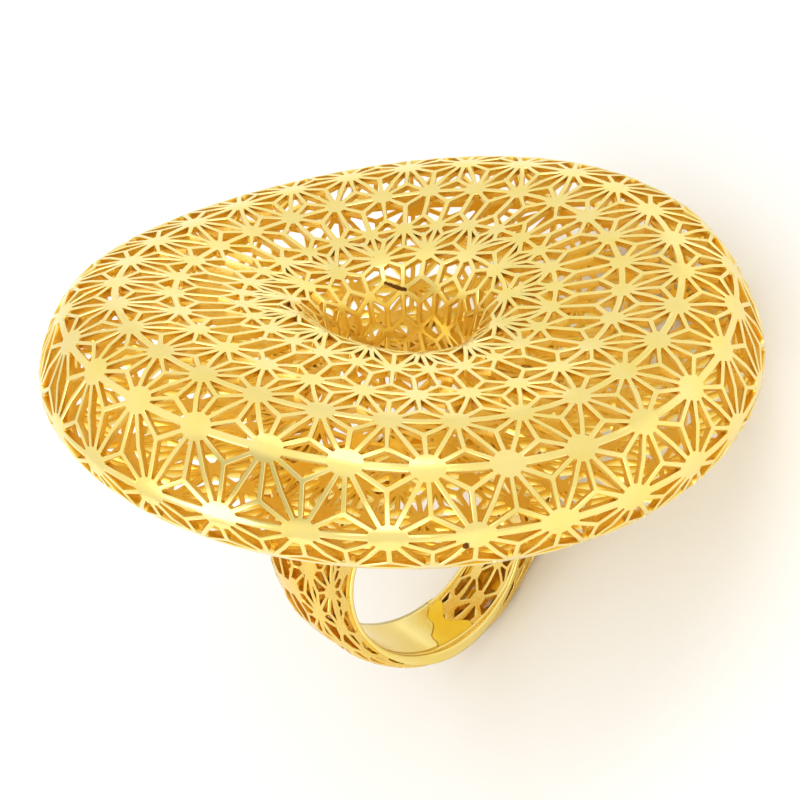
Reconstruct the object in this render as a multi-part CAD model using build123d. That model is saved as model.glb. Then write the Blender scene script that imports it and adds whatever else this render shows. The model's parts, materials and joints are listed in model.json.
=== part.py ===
from build123d import *
import os
from math import cos, degrees, pi, radians, sin, sqrt

# A cast openwork ring: a doughnut-shaped top, hollow and pierced with a net of triangles,
# on a pierced shank. It is one run of metal, and it lies tipped over on its side.

# Driving dimensions, in millimetres
bore_diameter = 17.6      # inside of the shank, a common ring size
top_diameter = 61.1       # widest reach of the doughnut-shaped top
hole_diameter = 11.6      # its centre hole, at the waist
top_depth = 13.1          # thickness of the top, crown to underside
wave = 1.4                # how far the crown swings up beside the finger and down along it
wall = 1.0                # thickness of the pierced metal
strut = 2.2               # width of the net's struts
bore_shift = 1.2          # the shank sits this far off centre along the finger
sole = 1.35               # thickness of the shank under the finger
flank = 2.3               # its thickness where the flanks start to flare
flank_angle = 30.0        # how far below the bore's middle that is, in degrees
saddle_angle = 60.0       # how far above it the hoop's top leaves the shoulders
saddle_gap = 2.5          # space between the hoop's top and the underside of the doughnut
shank_spread = 26.8       # the shank's outside width at the shoulders
shank_width_sole = 7.6    # width along the finger, at the bottom
shank_width_waist = 6.4   # at the height of the bore's centre
shank_width_top = 9.6     # where it meets the top
shoulder = 5.0            # width of each shoulder where it is soldered on
solder = 0.5              # how far the shoulders reach into the top's wall
shank_gap = 4.0           # side of the triangles pierced through the shank
first_gap_angle = 38.0    # how far below the bore's middle the first of them lies, in degrees
gap_step = 25.0           # from one of them to the next
gaps_per_flank = 3
gap_corners = 3
net_hubs = 12             # hubs round each of the net's widest rows

# The outline of the top's tube, read once round: out along the underside's edge, up over the crown,
# in to the lip of the centre hole, down its waist and back along the underside.
# Reach is a share of the way from the waist to the rim, height of the depth, swing of the wave.
OUTLINE = (
    # reach, height, swing
    (0.915, -0.69, 0.45),
    (1.000, -0.39, 0.50),
    (0.905, 0.01, 1.00),
    (0.720, 0.135, 0.97),
    (0.520, 0.11, 0.85),
    (0.295, 0.05, 0.70),
    (0.125, 0.00, 0.55),
    (0.030, -0.17, 0.35),
    (0.000, -0.44, 0.30),
    (0.100, -0.74, 0.15),
    (0.295, -0.84, 0.12),
    (0.505, -0.86, 0.12),
    (0.730, -0.83, 0.20),
)

# The rows of hubs in the net. Each one's place is a share of the way round the outline, its number
# of hubs a share of the widest rows', and the turn of its first hub a share of the step between hubs.
NET = (
    # place, hubs, first
    (0.046, 1.0, 0.0),
    (0.231, 1.0, 0.5),
    (0.415, 0.5, 0.75),
    (0.615, 0.5, 0.25),
    (0.792, 0.5, 0.75),
    (0.923, 1.0, 0.5),
)
facets = 3                # straight facets along each side of a triangle

# Sizes that follow
bore_radius = bore_diameter / 2
hole_radius = hole_diameter / 2
tube_width = top_diameter / 2 - hole_radius
hoop_radius = bore_radius + wall
underside = min(height for reach, height, swing in OUTLINE) * top_depth
bore_drop = hoop_radius + saddle_gap - underside


def between(before, start, end, after, t):
    """A smooth value from start to end, bent by its neighbours."""
    lead = (end - before) / 2
    trail = (after - start) / 2
    rise = end - start
    return start + t * (lead + t * ((3 * rise - 2 * lead - trail) + t * (lead + trail - 2 * rise)))


def outline(place):
    """Reach, height and swing of the tube's skin at a place along its outline."""
    rows = len(OUTLINE)
    row = int(place // 1)
    near = [OUTLINE[(row + step) % rows] for step in (-1, 0, 1, 2)]
    shares = [between(*column, place - row) for column in zip(*near)]
    return hole_radius + shares[0] * tube_width, shares[1] * top_depth, shares[2] * wave


def skin(turn, place):
    """A point on the outside of the top."""
    reach, height, swing = outline(place)
    return Vector(reach * cos(turn), reach * sin(turn), height + swing * cos(2 * turn))


def under_skin(turn, place, depth):
    """The point that lies a depth inside the skin, square to it."""
    nudge = 0.001
    across = skin(turn + nudge, place) - skin(turn - nudge, place)
    along = skin(turn, place + nudge) - skin(turn, place - nudge)
    return skin(turn, place) - across.cross(along).normalized() * depth


def hub_rows():
    """The hubs of each row as (turn, place), for one turn and the first hub again."""
    rows = []
    for place, hubs, first in NET:
        count = round(hubs * net_hubs)
        step = 2 * pi / count
        rows.append([((first + k) * step, place * len(OUTLINE)) for k in range(count + 1)])
    return rows


def zip_rows(low, high):
    """The triangles between two rows of hubs."""
    triangles = []
    i = 0
    j = 0
    while i < len(low) - 1 or j < len(high) - 1:
        low_next = (low[i][0] + low[i + 1][0]) / 2 if i < len(low) - 1 else None
        high_next = (high[j][0] + high[j + 1][0]) / 2 if j < len(high) - 1 else None
        if high_next is None or (low_next is not None and low_next <= high_next):
            triangles.append((low[i], low[i + 1], high[j]))
            i += 1
        else:
            triangles.append((low[i], high[j + 1], high[j]))
            j += 1
    return triangles


def net_triangles():
    """Every triangle of the net, by its three hubs."""
    rows = hub_rows()
    triangles = []
    for index, low in enumerate(rows):
        high = rows[(index + 1) % len(rows)]
        if index == len(rows) - 1:
            high = [(turn, place + len(OUTLINE)) for turn, place in high]
        # the upper row starts at the hub nearest to the lower row's first
        step = high[1][0] - high[0][0]
        shift = round((low[0][0] - high[0][0]) / step) * step
        triangles += zip_rows(low, [(turn + shift, place) for turn, place in high])
    return triangles


def mix(hubs, shares):
    """The (turn, place) at three shares of a triangle's hubs."""
    turn = sum(share * hub[0] for share, hub in zip(shares, hubs))
    place = sum(share * hub[1] for share, hub in zip(shares, hubs))
    return turn, place


def loop_of(hubs, corners):
    """Places round a triangle whose corners are given as shares of the hubs."""
    loop = []
    for side in range(3):
        start = corners[side]
        end = corners[(side + 1) % 3]
        for step in range(facets):
            t = step / facets
            loop.append(mix(hubs, [a + (b - a) * t for a, b in zip(start, end)]))
    return loop


def triangle_face(a, b, c):
    return Face(Wire.make_polygon([a, b, c], close=True))


def strip(outer, inner):
    """Facets between two closed loops of points, facing the way that the loops turn."""
    faces = []
    count = len(outer)
    for k in range(count):
        n = (k + 1) % count
        faces.append(triangle_face(outer[k], outer[n], inner[n]))
        faces.append(triangle_face(outer[k], inner[n], inner[k]))
    return faces


def net_cell(hubs):
    """One triangle of the net: its rim on both sides of the wall and the gap's edge between them."""
    points = [skin(*hub) for hub in hubs]
    sides = [(points[(k + 2) % 3] - points[(k + 1) % 3]).length for k in range(3)]
    area = (points[1] - points[0]).cross(points[2] - points[0]).length / 2
    inset = [strut / 2 * side / (2 * area) for side in sides]
    whole = ((1, 0, 0), (0, 1, 0), (0, 0, 1))
    gap = []
    for corner in range(3):
        shares = list(inset)
        shares[corner] = 1 - sum(inset) + inset[corner]
        gap.append(shares)
    rim = loop_of(hubs, whole)
    edge = loop_of(hubs, gap)
    rim_out = [under_skin(turn, place, 0) for turn, place in rim]
    rim_in = [under_skin(turn, place, wall) for turn, place in rim]
    edge_out = [under_skin(turn, place, 0) for turn, place in edge]
    edge_in = [under_skin(turn, place, wall) for turn, place in edge]
    return strip(rim_out, edge_out) + strip(edge_out, edge_in) + strip(edge_in, rim_in)


def doughnut_top():
    """The hollow, pierced top, as one closed shell of facets."""
    faces = []
    for hubs in net_triangles():
        faces += net_cell(hubs)
    return Solid(Shell(faces))


def underside_at(reach):
    """The height of the top's underside beside the finger, at a reach from its centre."""
    heights = [height for reach_share, height, swing in OUTLINE]
    far = heights.index(min(heights))
    near = [reach_share for reach_share, height, swing in OUTLINE].index(0)
    while far - near > 1e-6:
        place = (near + far) / 2
        if skin(0, place).X < reach:
            near = place
        else:
            far = place
    return skin(0, near).Z


def at_angle(radius, angle):
    """A point beside the bore's middle, at an angle in degrees above it."""
    return Vector(radius * cos(radians(angle)), radius * sin(radians(angle)))


def shoulder_corner(reach):
    """A corner of the shoulder's top, inside the wall that it is soldered to."""
    return Vector(reach, underside_at(reach) + solder + bore_drop)


def mirrored(point):
    return Vector(-point.X, point.Y)


def shank_outline():
    """The shank's outside seen along the finger: a round sole, two flared flanks and two shoulders."""
    low = at_angle(bore_radius + flank, -flank_angle)
    outer = shoulder_corner(shank_spread / 2)
    inner = shoulder_corner(shank_spread / 2 - shoulder)
    saddle = at_angle(hoop_radius, saddle_angle)
    bottom = ThreePointArc(mirrored(low), (0, -bore_radius - sole), low)
    right = TangentArc(low, outer, tangent=bottom % 1)
    edges = [
        bottom,
        right,
        Line(outer, inner),
        Line(inner, saddle),
        ThreePointArc(saddle, (0, hoop_radius), mirrored(saddle)),
        Line(mirrored(saddle), mirrored(inner)),
        Line(mirrored(inner), mirrored(outer)),
        mirror(right, Plane.YZ),
    ]
    return make_face(edges).face()


def waisted(inset):
    """A bar along the shank's width, waisted beside the finger, seen from the side as two arcs."""
    low = -bore_radius - 2 * sole
    high = shoulder_corner(shank_spread / 2 - shoulder).Y + wall
    sole_half = shank_width_sole / 2 - inset
    waist_half = shank_width_waist / 2 - inset
    top_half = shank_width_top / 2 - inset
    near = ThreePointArc((-sole_half, low), (-waist_half, 0), (-top_half, high))
    far = ThreePointArc((top_half, high), (waist_half, 0), (sole_half, low))
    ends = [Line(near @ 1, far @ 0), Line(far @ 1, near @ 0)]
    return extrude(Plane.YZ * make_face([near, far] + ends), shank_spread, both=True)


def through(profile, inset=0):
    """A profile seen along the finger, made solid between the shank's two waisted edges."""
    return extrude(Plane.XZ * profile, shank_width_top, both=True) & waisted(inset)


def shank_piercing():
    """Triangles cut through both walls of the flanks and both edges of the shoulders."""
    triangle = Rot(0, 0, 90) * RegularPolygon(shank_gap / sqrt(3), gap_corners)
    foot = at_angle(hoop_radius, saddle_angle / 2)
    middle = (foot + shoulder_corner((shank_spread - shoulder) / 2)) / 2
    cutters = []
    for side in (1, -1):
        for step in range(gaps_per_flank):
            out = at_angle(1, step * gap_step - first_gap_angle)
            away = Vector(side * out.X, 0, out.Y)
            plane = Plane(away * bore_radius / 2, x_dir=(0, 1, 0), z_dir=away)
            cutters.append(plane * Rot(0, 0, 180 * (step % 2)) * extrude(triangle, shank_spread))
        plane = Plane((side * middle.X, 0, middle.Y), x_dir=(1, 0, 0), z_dir=(0, -1, 0))
        cutters.append(plane * extrude(triangle, shank_width_top, both=True))
    return cutters


def shank():
    """The hoop for the finger, with hollow flanks that flare up to its two shoulders."""
    outside = shank_outline()
    hollow = offset(outside, -wall) - Circle(hoop_radius)
    body = through(outside) - through(hollow, wall)
    body -= extrude(Plane.XZ * Circle(bore_radius), shank_width_top, both=True)
    for cutter in shank_piercing():
        body -= cutter
    return Pos(0, -bore_shift, -bore_drop) * body


def rest_tilt(top, profile):
    """How far the ring tips about the finger's line until its rim and its sole both touch the floor."""
    rim_points = [(corner.X, corner.Z) for corner in top.vertices()]
    steps = 720
    edge = profile.outer_wire()
    sole_points = [(point.X, point.Y - bore_drop) for point in edge.positions([k / steps for k in range(steps)])]

    def depth(points, tilt):
        return max(x * sin(tilt) - z * cos(tilt) for x, z in points)

    upright = 0
    flat = pi / 2
    while flat - upright > 1e-7:
        tilt = (upright + flat) / 2
        if depth(rim_points, tilt) < depth(sole_points, tilt):
            upright = tilt
        else:
            flat = tilt
    return tilt


top = doughnut_top()
hoop = shank()
tilt = rest_tilt(top, shank_outline())
ring = Rot(0, degrees(tilt), 0) * (top + hoop)
box = ring.bounding_box()
ring = Pos(-box.center().X, -box.center().Y, -box.min.Z) * ring

os.makedirs("parts", exist_ok=True)
export_step(ring, "parts/ring_body.step")
print(f"tilt {degrees(tilt):.3f} degrees, {len(ring.solids())} solid, volume {ring.volume:.0f}")
print(f"size {box.size.X:.2f} by {box.size.Y:.2f} by {box.size.Z:.2f}")
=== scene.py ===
import json
from math import atan2, cos, pi, radians, sin, tan

import bpy
from mathutils import Matrix, Vector


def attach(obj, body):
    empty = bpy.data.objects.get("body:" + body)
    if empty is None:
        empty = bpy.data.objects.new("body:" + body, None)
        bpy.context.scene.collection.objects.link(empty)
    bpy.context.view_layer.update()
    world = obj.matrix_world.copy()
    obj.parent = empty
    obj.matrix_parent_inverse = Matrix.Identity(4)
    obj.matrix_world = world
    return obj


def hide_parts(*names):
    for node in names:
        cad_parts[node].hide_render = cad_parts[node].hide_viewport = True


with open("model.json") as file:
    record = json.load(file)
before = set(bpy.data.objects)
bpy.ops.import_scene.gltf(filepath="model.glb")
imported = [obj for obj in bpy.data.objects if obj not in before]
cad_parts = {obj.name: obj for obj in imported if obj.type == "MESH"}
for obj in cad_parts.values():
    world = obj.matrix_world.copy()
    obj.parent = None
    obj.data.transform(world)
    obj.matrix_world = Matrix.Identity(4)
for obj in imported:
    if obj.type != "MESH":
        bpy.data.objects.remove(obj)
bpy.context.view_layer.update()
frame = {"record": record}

# A gold plated openwork ring: a doughnut-shaped top on a waisted shank, both cast as a thin wall
# that is pierced with a star lattice. It lies on its side, on the sole of its shank and on its rim.
# Lengths are in millimetres until a piece is made, which is in metres. Angles are in degrees, and
# turns in radians.

# Sizes of the top, as in the solid model
top_diameter = 61.1
hole_diameter = 11.6
top_depth = 13.1
wave = 1.4
top_tilt = 47.68          # how far the ring is tipped over, so that it rests on its rim and its sole

# Sizes of the shank
bore_drop = 23.57         # from the lip of the centre hole down to the bore's centre
width_sole = 7.6          # along the finger, at the bottom
width_waist = 6.4         # beside the finger
width_top = 9.6           # where it meets the top
width_rise = 11.9         # from the waist down to the sole, and up to the top
rail_sole = 1.3           # thickness of the rolled rails under the finger
rail_flank = 0.35         # and up the flanks
rail_turn = radians(278)  # where round the bore they are thickest
rail_width = 1.0          # along the finger, at the sole
rail_width_flank = 0.5    # and up the flanks
rail_overlap = 0.6        # the lattice starts this share of a rail's thickness out from the bore
rail_cover = 0.2          # and ends this far inside the shank's half width, under the rail
bore_lift = 0.05          # the lattice round the finger stands this far back from the bore

# Sizes of the lattice
wall = 0.6
strut = 0.40
row_strut = 0.64          # the struts along the top's rows, near its rim
shank_strut = 0.30
solid_strut = 0.9         # round the finger, where the wall is all but closed beside the plate
solid_fade = 24.0         # the struts there thin out over this many degrees
row_gain = 1.4            # how fast the row struts reach their full width on the way to the rim
row_least = 0.1           # and the least share of that way that they start with
eased = 0.05              # width of the eased edge along each strut
hub_share = 0.25          # a gap's tip stays this share of the mean strut away from a star's middle
joint_radius = 0.14       # and this far from where three short struts meet, in mm
tip = 0.06                # how much further than its two struts' edges a gap's tip stays
side_room = 0.45          # a tip takes at most this share of a strut between two stars,
joint_room = 0.28         # this one from the joint's end of a strut that runs into a joint,
star_room = 0.65          # and this one from its star's end
mark_step = 0.15          # two tips that lie closer together along a strut share one mark, in mm
weld = 0.004              # points closer than this are one
hair = 1e-6               # lengths that differ by less are the same
crisp_bend = radians(32)  # edges that bend more than this stay crisp
columns = 28              # stars round the top's widest rows
plate_start = 226.0       # the plain plate under the finger runs from here to there, in degrees
plate_end = 292.0
plate_reach = 1.08        # the plate runs out over the far rail
net_turn = radians(2.0)   # the lattice is turned this far against the finger hole
neck_depth = 0.8          # painted shade and dullness start from this far down the centre hole
neck_reach = 10.0         # and inwards from this far round its axis
neck_fade = 3.0           # over this distance

bore = next(mount for mount in frame["record"]["mounts"] if mount["name"] == "finger_bore")
bore_radius = bore["dims"]["r_mm"]
bore_shift = -bore["pos_m"][1] * 1000
bore_centre = Vector((0, -bore_shift, -bore_drop))

# From the ring's own frame, in millimetres, to where it lies on the floor, in metres
laid = (
    Matrix.Translation(Vector(bore["pos_m"]))
    @ Matrix.Rotation(radians(top_tilt), 4, "Y")
    @ Matrix.Scale(0.001, 4)
    @ Matrix.Translation(-bore_centre)
)
turned = Matrix.Rotation(radians(top_tilt), 3, "Y")

# The outline of the top's tube, read once round: out along the underside's edge, up over the crown,
# in to the lip of the centre hole, down its waist and back along the underside. Each row is a row of
# stars. Reach is a share of the way from the waist to the rim, height of the depth, swing of the wave.
OUTLINE = (
    # reach, height, swing, stars, turn of the first star in column steps
    (0.915, -0.69, 0.45, 28, 0.5),
    (1.000, -0.39, 0.50, 28, 0.0),
    (0.905, 0.01, 1.00, 28, 0.5),
    (0.720, 0.135, 0.97, 28, 0.0),
    (0.520, 0.11, 0.85, 28, 0.5),
    (0.295, 0.05, 0.70, 28, 0.0),
    (0.125, 0.00, 0.55, 14, 1.0),
    (0.030, -0.17, 0.35, 14, 0.0),
    (0.000, -0.44, 0.30, 14, 1.0),
    (0.100, -0.74, 0.15, 14, 0.0),
    (0.295, -0.84, 0.12, 28, 0.0),
    (0.505, -0.86, 0.12, 28, 0.5),
    (0.730, -0.83, 0.20, 28, 0.0),
)

# The brown spots on the top, as column of stars, row and radius in mm: the casting pit near the rim,
# which is not cut and is painted brown as its shade, and the burnt places that a burr along one strut
# at the lip of the centre hole runs through
PIT = (20.87, 0.786, 0.33)
BURR = ((6.92, 6.73, 0.17), (6.44, 6.90, 0.24), (5.87, 7.00, 0.17))
burr_steps = 5            # balls along each stretch of the burr

# How far the shank's outside stands from the bore's centre, from the sole up one side to the crown
SHANK = (
    # angle above the bore's middle, reach
    (-90, 10.2),
    (-60, 10.4),
    (-30, 11.05),
    (0, 13.0),
    (25, 15.4),
    (40, 18.6),
    (48, 16.9),
    (55, 15.2),
    (60, 11.0),
    (66, 9.9),
    (90, 9.9),
)

# The columns of stars round the shank, as angles round the bore from the side beside the finger, and
# the rows as shares of the way across. Every second column stands between its neighbours' stars.
ONE_FLANK = (90, 106, 120, 132, 143, 153, 163, 174, 185, 197, 208, 219, 230, 241, 252, 263)
OUTER_COLUMNS = ONE_FLANK + (270,) + tuple(540 - angle for angle in reversed(ONE_FLANK[1:]))
OUTER_ROWS = (0, 0.055, 0.22, 0.5, 0.78, 0.945, 1)
sole_shift = 0.27         # how much the rows beside the rails move inwards under the finger
sole_from = 205           # from here, under the finger, the gaps beside the rails have no joints
INNER_COLUMNS = tuple(range(-87, 261, 12))
INNER_ROWS = (0, 0.36, 0.70, 1)
split_from = -50          # round the finger, stars have joints between them only past the plate,
split_to = 20             # between these angles

# Lines across the plate: its start, the slanted and wavy line between its polished stretch and its
# rough end, and where that end runs out unevenly into the lattice. Each is an angle at the near rail,
# how far it slants in degrees, and its waves' swing, number in radians and lead
PLATE_START = (plate_start, 0, 0, 0, 0)
EDGE = (268, 20, 1.5, 14.0, 0.0)
ROUGH_END = (plate_end, 0, 4, 8.0, 0.5)
plate_depth = 0.75        # the plate is this thick below the lattice's skin


def between(before, start, end, after, t):
    """A smooth value from start to end, bent by its neighbours."""
    lead = (end - before) / 2
    trail = (after - start) / 2
    rise = end - start
    return start + t * (lead + t * ((3 * rise - 2 * lead - trail) + t * (lead + trail - 2 * rise)))


def top_skin(turn, place):
    """A point on the outside of the top, in the ring's own frame."""
    row = int(place // 1)
    near = [OUTLINE[(row + step) % len(OUTLINE)][:3] for step in (-1, 0, 1, 2)]
    reach, height, swing = (between(*column, place - row) for column in zip(*near))
    radius = hole_diameter / 2 + reach * (top_diameter - hole_diameter) / 2
    level = height * top_depth + swing * wave * cos(2 * turn)
    return Vector((radius * cos(turn), radius * sin(turn), level))


def half_width(height):
    """Half of the shank's width at a height above the bore's centre: waisted beside the finger."""
    share = height / width_rise
    lean = (width_top - width_sole) / 2
    bend = (width_top + width_sole) / 2 - width_waist
    return (width_waist + lean * share + bend * share ** 2) / 2


def rail_share(turn):
    """How much of their full size the rolled rails have at a turn round the bore."""
    return max(0.0, cos(turn - rail_turn)) ** 4


def rail_depth(turn):
    """How thick the rolled rails are."""
    return rail_flank + (rail_sole - rail_flank) * rail_share(turn)


def rail_breadth(turn):
    """How wide the rolled rails are along the finger."""
    return rail_width_flank + (rail_width - rail_width_flank) * rail_share(turn)


def shank_reach(angle):
    """How far the shank's outside stands from the bore's centre at an angle in degrees."""
    lift = 90 - abs(90 - (angle + 90) % 360 + 90)
    for (low, reach), (high, further) in zip(SHANK, SHANK[1:]):
        if low <= lift <= high:
            return reach + (further - reach) * (lift - low) / (high - low)


def shank_skin(turn, across):
    """A point on the shank's bulging outside, from its far rail, 0, to its near rail, 1. Near the sole
    the rows beside the rails lie further from them."""
    edge = bore_radius + rail_depth(turn) * rail_overlap
    rim = max(0.0, 2 * min(across, 1 - across)) ** (1 - sole_shift * max(0.0, -sin(turn))) / 2
    swell = sin(pi * rim) ** 0.5
    side = cos(pi * rim) if across < 0.5 else -cos(pi * rim)
    reach = edge + (shank_reach(turn * 180 / pi) - edge) * swell
    spread = (half_width(reach * sin(turn)) - rail_cover) * abs(side) ** 0.5
    return bore_centre + Vector((reach * cos(turn), spread if side > 0 else -spread, reach * sin(turn)))


def bore_skin(turn, across):
    """A point on the wall round the finger, from its near rail, 0, to its far rail, 1."""
    spread = half_width(bore_radius * sin(turn)) - rail_breadth(turn) / 2
    reach = bore_radius + bore_lift
    return bore_centre + Vector((reach * cos(turn), spread * (2 * across - 1), reach * sin(turn)))


def square_to(surface, turn, place):
    """The direction that stands square on a surface's outside."""
    nudge = 0.001
    across = surface(turn + nudge, place) - surface(turn - nudge, place)
    along = surface(turn, place + nudge) - surface(turn, place - nudge)
    return across.cross(along).normalized()


def zip_rows(low, high):
    """The triangles between two rows of stars, each star as (name, turn, place)."""
    triangles = []
    i = 0
    j = 0
    while i < len(low) - 1 or j < len(high) - 1:
        low_next = (low[i][1] + low[i + 1][1]) / 2 if i < len(low) - 1 else None
        high_next = (high[j][1] + high[j + 1][1]) / 2 if j < len(high) - 1 else None
        if high_next is None or (low_next is not None and low_next <= high_next):
            triangles.append((low[i], low[i + 1], high[j]))
            i += 1
        else:
            triangles.append((low[i], high[j + 1], high[j]))
            j += 1
    return triangles


def top_triangles():
    """Every triangle of stars round the top. A star's name is its row and its number in the row."""
    step = 2 * pi / columns
    triangles = []
    for row in range(len(OUTLINE)):
        pair = []
        for place in (row, row + 1):
            stars, first = OUTLINE[place % len(OUTLINE)][3:]
            gap = columns / stars
            # the upper row starts at the star nearest to the lower row's first
            lead = 0 if place == row else round((pair[0][0][1] - net_turn - first * step) / (gap * step))
            pair.append([
                ((place % len(OUTLINE), k % stars), net_turn + (first + k * gap) * step, place)
                for k in range(lead, lead + stars + 1)
            ])
        triangles += zip_rows(*pair)
    return triangles


def strip_triangles(angles, shares, closed):
    """The triangles of a lattice in columns at these angles, with rows at these shares of the width:
    every second row has its stars in every second column."""
    rows = []
    for number, share in enumerate(shares):
        picked = angles[number % 2::2]
        row = [((number, k), radians(angle), share) for k, angle in enumerate(picked)]
        if closed:
            row.append(((number, 0), radians(picked[0] + 360), share))
        rows.append(row)
    triangles = []
    for low, high in zip(rows, rows[1:]):
        triangles += zip_rows(low, high)
    return triangles


def strut_width(ends, point):
    """How wide a strut is at a point: on the top, those along a row grow wider towards the rim, and
    round the finger all of them grow wider beside the plate."""
    arm = point - bore_centre
    reach = Vector((arm.x, arm.z)).length
    if point.z < -top_depth and reach > bore_radius + 2 * bore_lift:
        return shank_strut
    if point.z < -top_depth:
        past = (atan2(arm.z, arm.x) * 180 / pi) % 360 - plate_end
        return shank_strut + (solid_strut - shank_strut) * min(max(1 - past / solid_fade, 0), 1)
    first, second = ends
    if first[0] != second[0]:
        return strut
    share = (Vector(point.xy).length - hole_diameter) / (top_diameter / 2 - hole_diameter)
    return strut + (row_strut - strut) * min(max(share * row_gain, row_least), 1)


def hole_shade_and_dullness(point):
    """How much painted shade, a deeper colour, and dullness out of reach of tumbling a point of the
    skin gets: only those down the centre hole get any.
    """
    if point.z < -top_depth:
        return 0.0
    down = (-point.z - neck_depth) / neck_fade
    inwards = (neck_reach - Vector(point.xy).length) / neck_fade
    return min(max(min(down, inwards), 0.0), 1.0)


def strut_left_out(ends):
    """Struts that the lattice lacks: the slanted ones over the shoulder of the crown, and all but
    the spokes below the lip of the centre hole."""
    rows = sorted(name[0] for name in ends)
    if rows == [4, 5]:
        return True
    return rows[0] in (6, 7, 8) and rows != [6, 6] and rows[1] in (7, 8, 9)


def drawn_struts(triangles, left_out, split):
    """The struts of a lattice by the pair of names at their ends, and its gaps by their corners:
    a split triangle of stars has a joint in its middle, and a strut left out joins two gaps in one."""
    struts = {}
    sides = {}
    gaps = []
    for number, corners in enumerate(triangles):
        if not split(corners):
            gaps.append(corners)
            for k in range(3):
                start = corners[k]
                end = corners[(k + 1) % 3]
                struts.setdefault(frozenset((start[0], end[0])), (start, end))
            continue
        middle = (
            ("joint", number),
            sum(corner[1] for corner in corners) / 3,
            sum(corner[2] for corner in corners) / 3,
        )
        for k in range(3):
            start = corners[k]
            end = corners[(k + 1) % 3]
            struts.setdefault(frozenset((start[0], middle[0])), (start, middle))
            sides.setdefault(frozenset((start[0], end[0])), []).append((start, end, middle))
    for ends, around in sides.items():
        if left_out(ends) and len(around) == 2:
            (start, end, middle), (back, forth, other) = around
            shift = (start[1] - forth[1], start[2] - forth[2])
            other = (other[0], other[1] + shift[0], other[2] + shift[1])
            gaps.append((start, other, end, middle))
        else:
            struts[ends] = around[0][:2]
            gaps += around
    return struts, gaps


def turns_round_stars(struts, surface):
    """The turn from each strut to the next one round a star, seen from outside, and each star's spot."""
    where = {}
    arms = {}
    for ends, (start, end) in struts.items():
        for here, there in ((start, end), (end, start)):
            where[here[0]] = here[1:]
            lean = 0.05
            point = surface(here[1] + (there[1] - here[1]) * lean, here[2] + (there[2] - here[2]) * lean)
            arms.setdefault(here[0], []).append((ends, point - surface(*here[1:])))
    turns = {}
    for star, spot in where.items():
        out = square_to(surface, *spot)
        east = arms[star][0][1].cross(out).normalized()
        north = out.cross(east)
        order = sorted(
            (atan2(way.dot(north), way.dot(east)), sorted(map(str, ends)), ends)
            for ends, way in arms[star]
        )
        for k, (angle, label, ends) in enumerate(order):
            turns[star, ends] = (order[(k + 1) % len(order)][0] - angle) % (2 * pi)
    return turns, where


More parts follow.
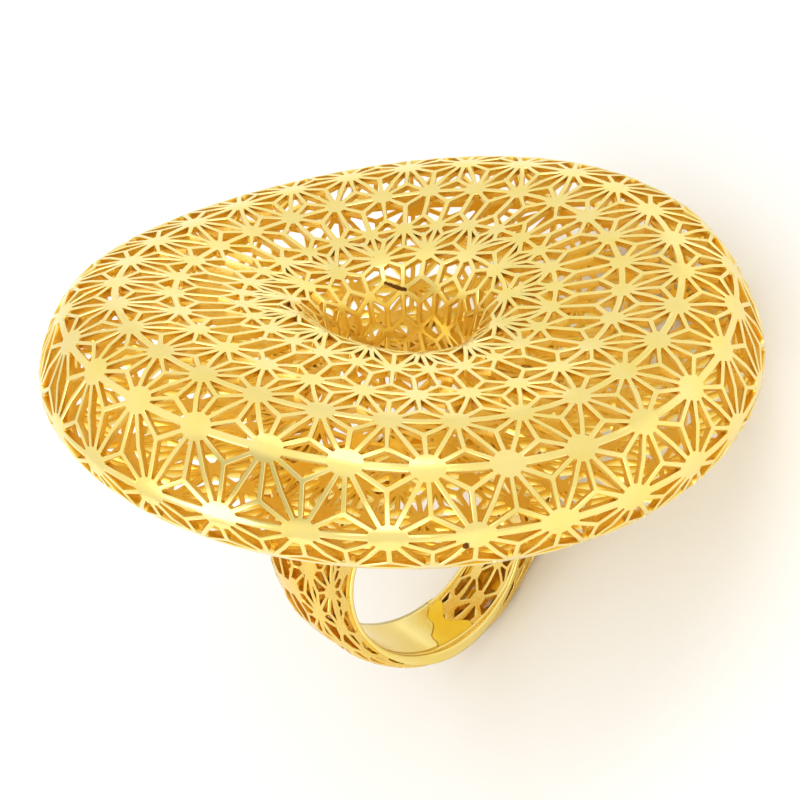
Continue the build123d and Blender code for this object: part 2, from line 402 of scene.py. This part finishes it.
def pattern(triangles, surface, left_out, split, name):
    """The flat drawing of a star lattice on a surface, as a mesh: a fan of faces where struts run
    together and one face for each gap. Each corner of a gap keeps the way into it, longer where the
    strut beside it is wider."""
    struts, gaps = drawn_struts(triangles, left_out, split)
    turns, where = turns_round_stars(struts, surface)
    points = []
    squares = []

    def add_point(turn, place):
        points.append(surface(turn, place))
        squares.append(square_to(surface, turn, place))
        return len(points) - 1

    lengths = {
        ends: (surface(*end[1:]) - surface(*start[1:])).length
        for ends, (start, end) in struts.items()
    }
    spokes = {}
    for ends, length in lengths.items():
        for star in ends:
            spokes.setdefault(star, []).append(length)
    # how far from each of its corners a gap's opening starts
    tips = {}
    wanted = {}
    for number, gap in enumerate(gaps):
        for k, here in enumerate(gap):
            after = gap[(k + 1) % len(gap)]
            pair = (frozenset((here[0], after[0])), frozenset((gap[k - 1][0], here[0])))
            at_joint = here[0][0] == "joint"
            widest = max(strut_width(ends, surface(*here[1:])) for ends in pair)
            need = tip + widest / 2 / tan(min(turns[here[0], pair[0]], pi) / 2)
            around = spokes[here[0]]
            least = joint_radius if at_joint else hub_share * sum(around) / len(around)
            room = []
            for ends in pair:
                mixed = any(end[0] == "joint" for end in ends)
                share = side_room if not mixed else (joint_room if at_joint else star_room)
                room.append(share * lengths[ends])
            tips[number, k] = min(max(need, least), min(room))
            for ends in pair:
                wanted.setdefault((ends, here[0]), []).append(tips[number, k])
    # the places along each strut, from either end, at which the gaps beside it start
    stops = {}
    middles = {}
    for ends, (start, end) in struts.items():
        for here, there in ((start, end), (end, start)):
            marks = sorted(wanted[ends, here[0]])
            if marks[-1] - marks[0] < mark_step:
                marks = marks[-1:]
            stops[ends, here[0]] = []
            for mark in marks:
                spot = (a + (b - a) * mark / lengths[ends] for a, b in zip(here[1:], there[1:]))
                stops[ends, here[0]].append((mark, add_point(*spot)))
        if not any(end[0] == "joint" for end in ends):
            middles[ends] = add_point((start[1] + end[1]) / 2, (start[2] + end[2]) / 2)
    centres = {star: add_point(*spot) for star, spot in where.items()}
    faces = []
    inward = []
    is_gap = []
    for number, gap in enumerate(gaps):
        loop = []
        ways = []
        for k, here in enumerate(gap):
            after = (k + 1) % len(gap)
            ends = frozenset((here[0], gap[after][0]))
            near = stops[ends, here[0]]
            far = stops[ends, gap[after][0]]
            side = [spot for mark, spot in near if mark > tips[number, k] - hair]
            side += [middles[ends]] if ends in middles else []
            side += [spot for mark, spot in reversed(far) if mark > tips[number, after] - hair]
            run = points[side[-1]] - points[side[0]]
            for spot in side:
                width = strut_width(ends, points[spot]) / strut
                ways.append(squares[spot].cross(run).normalized() * width)
            loop += side
            # the wedge of solid metal between the star's middle and the gap's tip
            back = stops[frozenset((gap[k - 1][0], here[0])), here[0]]
            near_first = [mark > tips[number, k] - hair for mark, spot in near].index(True)
            back_first = [mark > tips[number, k] - hair for mark, spot in back].index(True)
            wedge = [centres[here[0]]]
            wedge += [spot for mark, spot in near[:near_first + 1]]
            wedge += [spot for mark, spot in back[back_first::-1]]
            faces.append(wedge)
            inward += [Vector()] * len(wedge)
            is_gap.append(False)
        faces.append(loop)
        inward += ways
        is_gap.append(True)
    mesh = bpy.data.meshes.new(name)
    mesh.from_pydata([laid @ point for point in points], [], faces)
    out = mesh.attributes.new("square", "FLOAT_VECTOR", "POINT")
    out.data.foreach_set("vector", [value for way in squares for value in turned @ way])
    into = mesh.attributes.new("inward", "FLOAT_VECTOR", "CORNER")
    into.data.foreach_set("vector", [value for way in inward for value in turned @ way])
    # within: the share of painted shade, a deeper colour, and of dullness at each point
    within = mesh.attributes.new("within", "FLOAT", "POINT")
    within.data.foreach_set("value", [hole_shade_and_dullness(point) for point in points])
    gap = mesh.attributes.new("gap", "BOOLEAN", "FACE")
    gap.data.foreach_set("value", is_gap)
    print(name, len(gaps), "gaps", len(struts), "struts")
    return mesh


def add_node(tree, kind, inputs=None, **settings):
    """Adds a node with its settings, and sets or links its inputs."""
    node = tree.nodes.new(kind)
    for key, value in settings.items():
        setattr(node, key, value)
    for key, value in (inputs or {}).items():
        socket = node.inputs[key]
        if isinstance(value, bpy.types.NodeSocket):
            tree.links.new(value, socket)
        else:
            socket.default_value = value
    return node


def openwork_tree():
    """Geometry nodes that cast a drawn lattice in metal: each gap's face is drawn in to leave the
    struts, taken down through the wall between two eased edges, out again on its far side, and
    then deleted."""
    tree = bpy.data.node_groups.new("openwork", "GeometryNodeTree")
    for name, kind in (
        ("Drawing", "NodeSocketGeometry"),
        ("Strut", "NodeSocketFloat"),
        ("Wall", "NodeSocketFloat"),
        ("Eased edge", "NodeSocketFloat"),
        ("Metal", "NodeSocketMaterial"),
    ):
        tree.interface.new_socket(name, in_out="INPUT", socket_type=kind)
    tree.interface.new_socket("Lattice", in_out="OUTPUT", socket_type="NodeSocketGeometry")
    given = tree.nodes.new("NodeGroupInput").outputs
    # the lengths that the metal is drawn in and taken down by
    lengths = {"strut": given["Strut"], "wall": given["Wall"], "ease": given["Eased edge"]}
    for name, operation, first, second in (
        ("half strut", "MULTIPLY", "strut", 0.5),
        ("face", "SUBTRACT", "half strut", "ease"),
        ("face back", "MULTIPLY", "face", -1.0),
        ("ease back", "MULTIPLY", "ease", -1.0),
        ("both eases", "MULTIPLY", "ease", 2.0),
        ("upright", "SUBTRACT", "wall", "both eases"),
        ("upright down", "MULTIPLY", "upright", -1.0),
        ("wall down", "MULTIPLY", "wall", -1.0),
    ):
        pair = {0: lengths.get(first, first), 1: lengths.get(second, second)}
        lengths[name] = add_node(tree, "ShaderNodeMath", pair, operation=operation).outputs[0]
    lengths["none"] = 0.0
    inward, into, square = (
        add_node(
            tree, "GeometryNodeInputNamedAttribute", {"Name": name}, data_type="FLOAT_VECTOR",
        ).outputs["Attribute"]
        for name in ("inward", "into gap", "square")
    )
    is_gap = add_node(tree, "GeometryNodeInputNamedAttribute", {"Name": "gap"}, data_type="BOOLEAN")
    beneath = add_node(
        tree, "ShaderNodeVectorMath", {0: square, "Scale": lengths["wall down"]}, operation="SCALE",
    )
    split = add_node(tree, "GeometryNodeSplitEdges", {"Mesh": given["Drawing"]})
    kept = add_node(
        tree, "GeometryNodeStoreNamedAttribute",
        {"Geometry": split.outputs["Mesh"], "Name": "into gap", "Value": inward},
        data_type="FLOAT_VECTOR", domain="POINT",
    )
    geometry = kept.outputs["Geometry"]
    picked = is_gap.outputs["Attribute"]
    # each gap's face moves this far into the gap and this far out of the wall, one after the other
    for inset, rise in (
        ("face", "none"),
        ("ease", "ease back"),
        ("none", "upright down"),
        ("ease back", "ease back"),
        ("face back", "none"),
    ):
        bent = add_node(
            tree, "GeometryNodeExtrudeMesh",
            {"Mesh": geometry, "Selection": picked, "Offset Scale": 0.0, "Individual": True},
            mode="FACES",
        )
        picked = bent.outputs["Top"]
        sideways = add_node(
            tree, "ShaderNodeVectorMath", {0: into, "Scale": lengths[inset]}, operation="SCALE",
        )
        upwards = add_node(
            tree, "ShaderNodeVectorMath", {0: square, "Scale": lengths[rise]}, operation="SCALE",
        )
        way = add_node(
            tree, "ShaderNodeVectorMath",
            {0: sideways.outputs["Vector"], 1: upwards.outputs["Vector"]}, operation="ADD",
        )
        moved = add_node(
            tree, "GeometryNodeSetPosition",
            {"Geometry": bent.outputs["Mesh"], "Selection": picked, "Offset": way.outputs["Vector"]},
        )
        geometry = moved.outputs["Geometry"]
        if inset == "none":
            # what lies down in the wall is out of reach of polish, which an attribute says; it also
            # gives the wall's faces a deeper colour, which is painted shade
            marked = add_node(
                tree, "GeometryNodeStoreNamedAttribute",
                {"Geometry": geometry, "Selection": picked, "Name": "within", "Value": 1.0},
                data_type="FLOAT", domain="POINT",
            )
            geometry = marked.outputs["Geometry"]
    opened = add_node(
        tree, "GeometryNodeDeleteGeometry", {"Geometry": geometry, "Selection": picked},
        domain="FACE", mode="ALL",
    )
    # the underside of the places where struts run together
    solid_part = add_node(
        tree, "GeometryNodeDeleteGeometry",
        {"Geometry": split.outputs["Mesh"], "Selection": is_gap.outputs["Attribute"]},
        domain="FACE", mode="ALL",
    )
    under = add_node(
        tree, "GeometryNodeSetPosition",
        {"Geometry": solid_part.outputs["Geometry"], "Offset": beneath.outputs["Vector"]},
    )
    # the underside gets the attribute too: painted shade and a duller finish
    deep = add_node(
        tree, "GeometryNodeStoreNamedAttribute",
        {"Geometry": under.outputs["Geometry"], "Name": "within", "Value": 1.0},
        data_type="FLOAT", domain="POINT",
    )
    flipped = add_node(tree, "GeometryNodeFlipFaces", {"Mesh": deep.outputs["Geometry"]})
    # where the drawing ends, a wall closes the metal
    beside = add_node(tree, "GeometryNodeInputMeshEdgeNeighbors")
    bare = add_node(
        tree, "ShaderNodeMath", {0: beside.outputs["Face Count"], 1: 1.5}, operation="LESS_THAN",
    )
    bent = add_node(
        tree, "GeometryNodeExtrudeMesh",
        {"Mesh": given["Drawing"], "Selection": bare.outputs[0], "Offset Scale": 0.0}, mode="EDGES",
    )
    hung = add_node(
        tree, "GeometryNodeSetPosition",
        {"Geometry": bent.outputs["Mesh"], "Selection": bent.outputs["Top"],
         "Offset": beneath.outputs["Vector"]},
    )
    drawn = add_node(tree, "ShaderNodeMath", {0: 1.0, 1: bent.outputs["Side"]}, operation="SUBTRACT")
    edge_wall = add_node(
        tree, "GeometryNodeDeleteGeometry",
        {"Geometry": hung.outputs["Geometry"], "Selection": drawn.outputs[0]},
        domain="FACE", mode="ALL",
    )
    joined = add_node(tree, "GeometryNodeJoinGeometry")
    for part in (flipped.outputs["Mesh"], opened.outputs["Geometry"], edge_wall.outputs["Geometry"]):
        tree.links.new(part, joined.inputs[0])
    welded = add_node(
        tree, "GeometryNodeMergeByDistance",
        {"Geometry": joined.outputs["Geometry"], "Distance": weld / 1000},
    )
    smooth = add_node(tree, "GeometryNodeSetShadeSmooth", {"Geometry": welded.outputs["Geometry"]})
    bend = add_node(tree, "GeometryNodeInputMeshEdgeAngle")
    sharp = add_node(
        tree, "ShaderNodeMath", {0: bend.outputs["Unsigned Angle"], 1: crisp_bend},
        operation="GREATER_THAN",
    )
    crisp = add_node(
        tree, "GeometryNodeSetShadeSmooth",
        {"Geometry": smooth.outputs["Geometry"], "Selection": sharp.outputs[0], "Shade Smooth": False},
        domain="EDGE",
    )
    real = add_node(tree, "GeometryNodeRealizeInstances", {"Geometry": crisp.outputs["Geometry"]})
    coated = add_node(
        tree, "GeometryNodeSetMaterial",
        {"Geometry": real.outputs["Geometry"], "Material": given["Metal"]},
    )
    add_node(tree, "NodeGroupOutput", {"Lattice": coated.outputs["Geometry"]})
    return tree


def cast(drawing, name, metal):
    """A finished piece of lattice from its drawing."""
    piece = bpy.data.objects.new(name, drawing)
    bpy.context.scene.collection.objects.link(piece)
    modifier = piece.modifiers.new("openwork", "NODES")
    modifier.node_group = openwork
    values = {"Strut": strut / 1000, "Wall": wall / 1000, "Eased edge": eased / 1000, "Metal": metal}
    for item in openwork.interface.items_tree:
        if item.in_out == "INPUT" and item.name in values:
            modifier[item.identifier] = values[item.name]
    depsgraph = bpy.context.evaluated_depsgraph_get()
    mesh = bpy.data.meshes.new_from_object(piece.evaluated_get(depsgraph))
    piece.modifiers.remove(modifier)
    piece.data = mesh
    for attribute in ("inward", "into gap", "square", "gap"):
        if attribute in mesh.attributes:
            mesh.attributes.remove(mesh.attributes[attribute])
    mesh.name = name
    triangles = sum(len(face.vertices) - 2 for face in mesh.polygons)
    print(name, len(mesh.polygons), "faces", triangles, "triangles")
    return piece


def linear(code):
    """An sRGB hex colour as linear red, green, blue and alpha."""
    shares = [int(code[k:k + 2], 16) / 255 for k in (1, 3, 5)]
    return [(c / 12.92 if c <= 0.04045 else ((c + 0.055) / 1.055) ** 2.4) for c in shares] + [1.0]


def spot_of(column, place):
    """A place on the top's skin, by its column of stars and its row, where the ring lies."""
    return laid @ top_skin(net_turn + (column - 2) * 2 * pi / columns, place)


def gold_plate(name, worn, full, deep, shine, dull, ripple):
    """Yellow gold plate over cast and tumbled brass: warm and bright, with a faint cast grain, and
    duller within the wall and down the centre hole, where tumbling doesn't reach. There its colour is
    deeper, which is painted shade. It is burnt brown along one strut at the lip of the centre hole, and
    brown in a casting pit near the rim, which is not cut, as painted shade."""
    material = bpy.data.materials.new(name)
    material.use_nodes = True
    tree = material.node_tree
    tree.nodes.clear()
    place = add_node(tree, "ShaderNodeTexCoord").outputs["Object"]
    # the plate is a little paler in patches, where tumbling has worn it
    patches = add_node(
        tree, "ShaderNodeTexNoise", {"Vector": place, "Scale": 1000 / patch_size, "Detail": 2.0},
    )
    colour = add_node(tree, "ShaderNodeValToRGB", {"Fac": patches.outputs["Fac"]})
    colour.color_ramp.elements[0].position = 0.35
    colour.color_ramp.elements[0].color = linear(full)
    colour.color_ramp.elements[1].position = 0.65
    colour.color_ramp.elements[1].color = linear(worn)
    # cast grain
    grain = add_node(
        tree, "ShaderNodeTexNoise", {"Vector": place, "Scale": 1000 / grain_size, "Detail": 3.0},
    )
    bump = add_node(
        tree, "ShaderNodeBump",
        {"Height": grain.outputs["Fac"], "Strength": ripple, "Distance": grain_height / 1000},
    )
    # within the wall and down the centre hole the colour turns to the deep one, as painted shade
    marked = add_node(tree, "ShaderNodeAttribute", attribute_name="within", attribute_type="GEOMETRY")
    within = marked.outputs["Fac"]
    plated = add_node(
        tree, "ShaderNodeMix", {0: within, 6: colour.outputs["Color"], 7: linear(deep)},
        data_type="RGBA",
    )
    low = add_node(
        tree, "ShaderNodeMapRange", {"Value": within, "To Min": shine, "To Max": within_shine},
    )
    high = add_node(
        tree, "ShaderNodeMapRange", {"Value": within, "To Min": dull, "To Max": within_dull},
    )
    rough = add_node(
        tree, "ShaderNodeMapRange",
        {"Value": grain.outputs["Fac"], "To Min": low.outputs["Result"],
         "To Max": high.outputs["Result"]},
    )
    # the brown spots, each a ball round a place on the skin, with a ragged edge: painted shade in the
    # uncut pit, and burnt brown along the burr
    nearest = 10.0
    balls = [PIT]
    for start, end in zip(BURR, BURR[1:]):
        for step in range(burr_steps + 1):
            balls.append([a + (b - a) * step / burr_steps for a, b in zip(start, end)])
    for column, row, radius in balls:
        spot = spot_of(column, row)
        away = add_node(tree, "ShaderNodeVectorMath", {0: place, 1: spot}, operation="DISTANCE")
        share = add_node(
            tree, "ShaderNodeMath", {0: away.outputs["Value"], 1: 1000 / radius}, operation="MULTIPLY",
        )
        least = add_node(tree, "ShaderNodeMath", {0: share.outputs[0], 1: nearest}, operation="MINIMUM")
        nearest = least.outputs[0]
    ragged = add_node(tree, "ShaderNodeMath", {0: nearest, 1: grain.outputs["Fac"]}, operation="ADD")
    burn_and_hole_shade = add_node(
        tree, "ShaderNodeMapRange",
        {"Value": ragged.outputs[0], "From Min": burn_and_shade_full, "From Max": burn_and_shade_none,
         "To Min": 1.0, "To Max": 0.0},
    )
    # the brown: burnt along the burr, and painted shade in the uncut pit
    skin = add_node(
        tree, "ShaderNodeMix", {0: burn_and_hole_shade.outputs["Result"], 6: plated.outputs[2], 7: linear("#6a3d16")},
        data_type="RGBA",
    )
    shader = add_node(
        tree, "ShaderNodeBsdfPrincipled",
        {"Base Color": skin.outputs[2], "Roughness": rough.outputs["Result"], "Metallic": 1.0,
         "Normal": bump.outputs["Normal"]},
    )
    add_node(tree, "ShaderNodeOutputMaterial", {"Surface": shader.outputs["BSDF"]})
    return material


# The plate's surface, in millimetres: patches that tumbling has worn paler, the cast grain and how
# high it stands, and how smooth or rough it is within the wall
patch_size = 4.0
grain_size = 0.25
grain_height = 0.03
within_shine = 0.34
within_dull = 0.5
burn_and_shade_full = 1.35         # the brown of burn and painted shade is full out to here, in radii with the grain added,
burn_and_shade_none = 1.65         # and gone from here on

# The photograph's view of the ring, in the ring's own frame before it is tipped over
view_height = 28.07       # how far above the top's plane the camera looks down from
view_turn = 33.41         # how far the finger hole is turned from the camera's line
view_roll = -2.51
view_distance = 296.0
view_centre = Vector((-0.29, 0.0, -9.56))
view_lens = 156.7

# Light: the room's brightness near the floor and overhead, a darker patch in it, whose sizes are
# distances on a ball of radius 1, and the round softboxes round the ring
room_low = 0.95
room_high = 1.15
dark_way = (-0.38, -0.28, 0.88)
dark_inner = 0.30         # it is full out to here
dark_outer = 0.62         # and gone from here on
dark_share = 0.6          # and this share of the room's light is left in it
SOFTBOXES = (
    # name, place in metres, diameter in metres, brightness of its face against white
    ("key softbox", (0.45, -0.12, 0.57), 0.36, 1.8),
    ("front softbox", (-0.35, -0.65, 0.45), 0.36, 1.8),
    ("side softbox", (-0.75, 0.05, 0.40), 0.50, 2.4),
)


def camera():
    """A camera that sees the ring as the photograph does."""
    data = bpy.data.cameras.new("camera")
    data.lens = view_lens
    data.sensor_width = 36
    data.clip_start = 0.01
    eye = bpy.data.objects.new("camera", data)
    bpy.context.scene.collection.objects.link(eye)
    seen = (
        Matrix.Translation(view_centre)
        @ Matrix.Rotation(radians(90 - view_height), 4, "X")
        @ Matrix.Rotation(radians(view_roll), 4, "Z")
        @ Matrix.Translation(Vector((0, 0, view_distance)))
    )
    stands = laid @ Matrix.Rotation(radians(-view_turn), 4, "Z") @ seen
    where, way, size = stands.decompose()
    eye.matrix_world = Matrix.LocRotScale(where, way, None)
    bpy.context.scene.camera = eye


def studio():
    """A plain pale floor, and plain soft light."""
    floor_mesh = bpy.data.meshes.new("floor")
    reach = 2.0
    corners = [(x * reach, y * reach, 0) for x, y in ((-1, -1), (1, -1), (1, 1), (-1, 1))]
    floor_mesh.from_pydata(corners, [], [range(4)])
    floor = bpy.data.objects.new("floor", floor_mesh)
    bpy.context.scene.collection.objects.link(floor)
    paint = bpy.data.materials.new("matt white paper")
    paint.use_nodes = True
    shader = paint.node_tree.nodes["Principled BSDF"]
    shader.inputs["Base Color"].default_value = linear("#fefefd")
    shader.inputs["Roughness"].default_value = 0.9
    floor_mesh.materials.append(paint)
    world = bpy.data.worlds.new("studio")
    bpy.context.scene.world = world
    world.use_nodes = True
    tree = world.node_tree
    # a pale room, brighter overhead than near the floor
    way = add_node(tree, "ShaderNodeTexCoord").outputs["Generated"]
    height = add_node(tree, "ShaderNodeSeparateXYZ", {"Vector": way}).outputs["Z"]
    glow = add_node(
        tree, "ShaderNodeMapRange", {"Value": height, "To Min": room_low, "To Max": room_high},
    )
    # with a darker patch between the lamps, which the struts on the top's front wall reflect
    away = add_node(tree, "ShaderNodeVectorMath", {0: way, 1: dark_way}, operation="DISTANCE")
    shade = add_node(
        tree, "ShaderNodeMapRange",
        {"Value": away.outputs["Value"], "From Min": dark_inner, "From Max": dark_outer,
         "To Min": dark_share, "To Max": 1.0},
        interpolation_type="SMOOTHSTEP",
    )
    bright = add_node(
        tree, "ShaderNodeMath", {0: glow.outputs["Result"], 1: shade.outputs["Result"]},
        operation="MULTIPLY",
    )
    tree.links.new(bright.outputs[0], tree.nodes["Background"].inputs["Strength"])
    tree.nodes["Background"].inputs["Color"].default_value = linear("#ffffff")
    for name, place, size, strength in SOFTBOXES:
        data = bpy.data.lights.new(name, "AREA")
        data.shape = "DISK"
        data.size = size
        # a disc shines evenly with its power over pi times its area
        data.energy = strength * pi * pi * size ** 2 / 4
        lamp = bpy.data.objects.new(name, data)
        bpy.context.scene.collection.objects.link(lamp)
        stands = Vector(place)
        facing = stands.to_track_quat("Z", "Y")
        lamp.matrix_world = Matrix.Translation(stands) @ facing.to_matrix().to_4x4()
    bpy.context.scene.view_settings.view_transform = "Standard"


def whole(ends):
    """A lattice that has all of its struts."""
    return False


def every(corners):
    """All triangles of a lattice are split round a joint."""
    return True


def above_the_sole(corners):
    """Whether a triangle of the shank's stars lies up its flanks, or between its two sides."""
    angles = [corner[1] * 180 / pi % 360 for corner in corners]
    low = any(sole_from < angle < 540 - sole_from for angle in angles)
    beside = any(corner[2] in (OUTER_ROWS[1], OUTER_ROWS[-2]) for corner in corners)
    return not (low and beside)


def past_the_plate(corners):
    """Whether a triangle of the stars round the finger lies up the flank past the plate's rough end."""
    return all(split_from < corner[1] * 180 / pi < split_to for corner in corners)


def swept(name, spine, section, metal):
    """A smooth bar round a closed line: each place on the line has its middle and the two
    directions that its section is drawn in."""
    points = []
    faces = []
    steps = len(spine)
    corners = len(section)
    for middle, out, side in spine:
        points += [laid @ (middle + out * x + side * y) for x, y in section]
    for i in range(steps):
        n = (i + 1) % steps
        for j in range(corners):
            k = (j + 1) % corners
            faces.append((i * corners + j, n * corners + j, n * corners + k, i * corners + k))
    return finished(name, points, faces, metal)


def finished(name, points, faces, metal):
    """A smooth piece from its points, laid in place, and its faces."""
    mesh = bpy.data.meshes.new(name)
    mesh.from_pydata(points, [], faces)
    mesh.shade_smooth()
    mesh.materials.append(metal)
    piece = bpy.data.objects.new(name, mesh)
    bpy.context.scene.collection.objects.link(piece)
    return piece


def rolled_rail(name, side, metal):
    """One of the two smooth rails round the finger hole, on the near side, -1, or the far, 1."""
    spine = []
    steps = 144
    corners = 16
    for step in range(steps):
        turn = 2 * pi * step / steps
        out = Vector((cos(turn), 0, sin(turn)))
        depth = rail_depth(turn)
        breadth = rail_breadth(turn)
        spread = half_width(bore_radius * sin(turn)) - breadth / 2
        middle = bore_centre + out * (bore_radius + depth / 2) + Vector((0, side * spread, 0))
        spine.append((middle, out * depth, Vector((0, breadth, 0))))
    # its section is a round that is filled out towards a square
    section = []
    for corner in range(corners):
        turn = 2 * pi * corner / corners
        x = cos(turn)
        y = sin(turn)
        full = 1 / (x ** 4 + y ** 4) ** 0.25
        section.append((x * full / 2, -y * full / 2))
    return swept(name, spine, section, metal)


def wavy(line, across):
    """The angle of a slanted, wavy line at a share of the way across the plate."""
    angle, slant, swing, waves, lead = line
    return angle + slant * across + swing * sin(waves * across + lead)


def plate(name, start, end, lift, metal):
    """A plain stretch of the wall under the finger, between the two rails, lifted from the rest of
    the wall, from one wavy line to another."""
    points = []
    faces = []
    steps = 40
    rows = 12
    for depth in (lift, -plate_depth):
        for i in range(steps + 1):
            for j in range(rows + 1):
                across = plate_reach * j / rows
                first = wavy(start, across)
                turn = radians(first + (wavy(end, across) - first) * i / steps)
                spot = bore_skin(turn, across)
                out = (spot - bore_centre) * Vector((1, 0, 1))
                points.append(laid @ (spot - out.normalized() * depth))
    half = (steps + 1) * (rows + 1)
    for i in range(steps):
        for j in range(rows):
            a = i * (rows + 1) + j
            quad = (a, a + rows + 1, a + rows + 2, a + 1)
            faces.append(quad)
            faces.append(tuple(corner + half for corner in reversed(quad)))
    rim = list(range(rows + 1))
    rim += [i * (rows + 1) + rows for i in range(1, steps + 1)]
    rim += [steps * (rows + 1) + j for j in range(rows - 1, -1, -1)]
    rim += [i * (rows + 1) for i in range(steps - 1, 0, -1)]
    for k, corner in enumerate(rim):
        after = rim[(k + 1) % len(rim)]
        faces.append((corner, after, after + half, corner + half))
    return finished(name, points, faces, metal)


openwork = openwork_tree()
# tumbled: the top and the polished strip shine softly, and turn pale yellow where light falls on them
# its deep colour is painted shade, in the wall and down the centre hole
gold = gold_plate("gold plate on tumbled cast brass", "#f8e290", "#f6de7e", "#fad050", 0.16, 0.24, 0.12)
# satin: the shank's lattice is duller than the top, and its deeper colour is painted shade
shaded_satin = gold_plate("gold plate on satin cast brass, in painted shade", "#f0d078", "#ecc868", "#ffcf40", 0.22, 0.32, 0.12)
# rough: the unpolished end of the strip is as yellow as egg yolk, grainy, and mirrors nothing
raw = gold_plate("gold plate on rough cast brass", "#ffe258", "#ffd93c", "#ffd93c", 0.30, 0.45, 0.8)
top_drawing = pattern(top_triangles(), top_skin, strut_left_out, every, "star_lattice")
top = cast(top_drawing, "star_lattice", gold)
outer_rows = strip_triangles(OUTER_COLUMNS, OUTER_ROWS, closed=True)
outer_drawing = pattern(outer_rows, shank_skin, whole, above_the_sole, "shank_outside")
outer = cast(outer_drawing, "shank_outside", shaded_satin)
inner_rows = strip_triangles(INNER_COLUMNS, INNER_ROWS, closed=False)
inner_drawing = pattern(inner_rows, bore_skin, whole, past_the_plate, "shank_inside")
inner = cast(inner_drawing, "shank_inside", shaded_satin)
near_rail = rolled_rail("near_rail", -1, gold)
far_rail = rolled_rail("far_rail", 1, gold)
polished = plate("plate_polished", PLATE_START, EDGE, 0.06, gold)
rough = plate("plate_rough", EDGE, ROUGH_END, 0.02, raw)
for piece in (top, outer, inner, near_rail, far_rail, polished, rough):
    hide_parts("ring_body")
    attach(piece, "root")
camera()
studio()
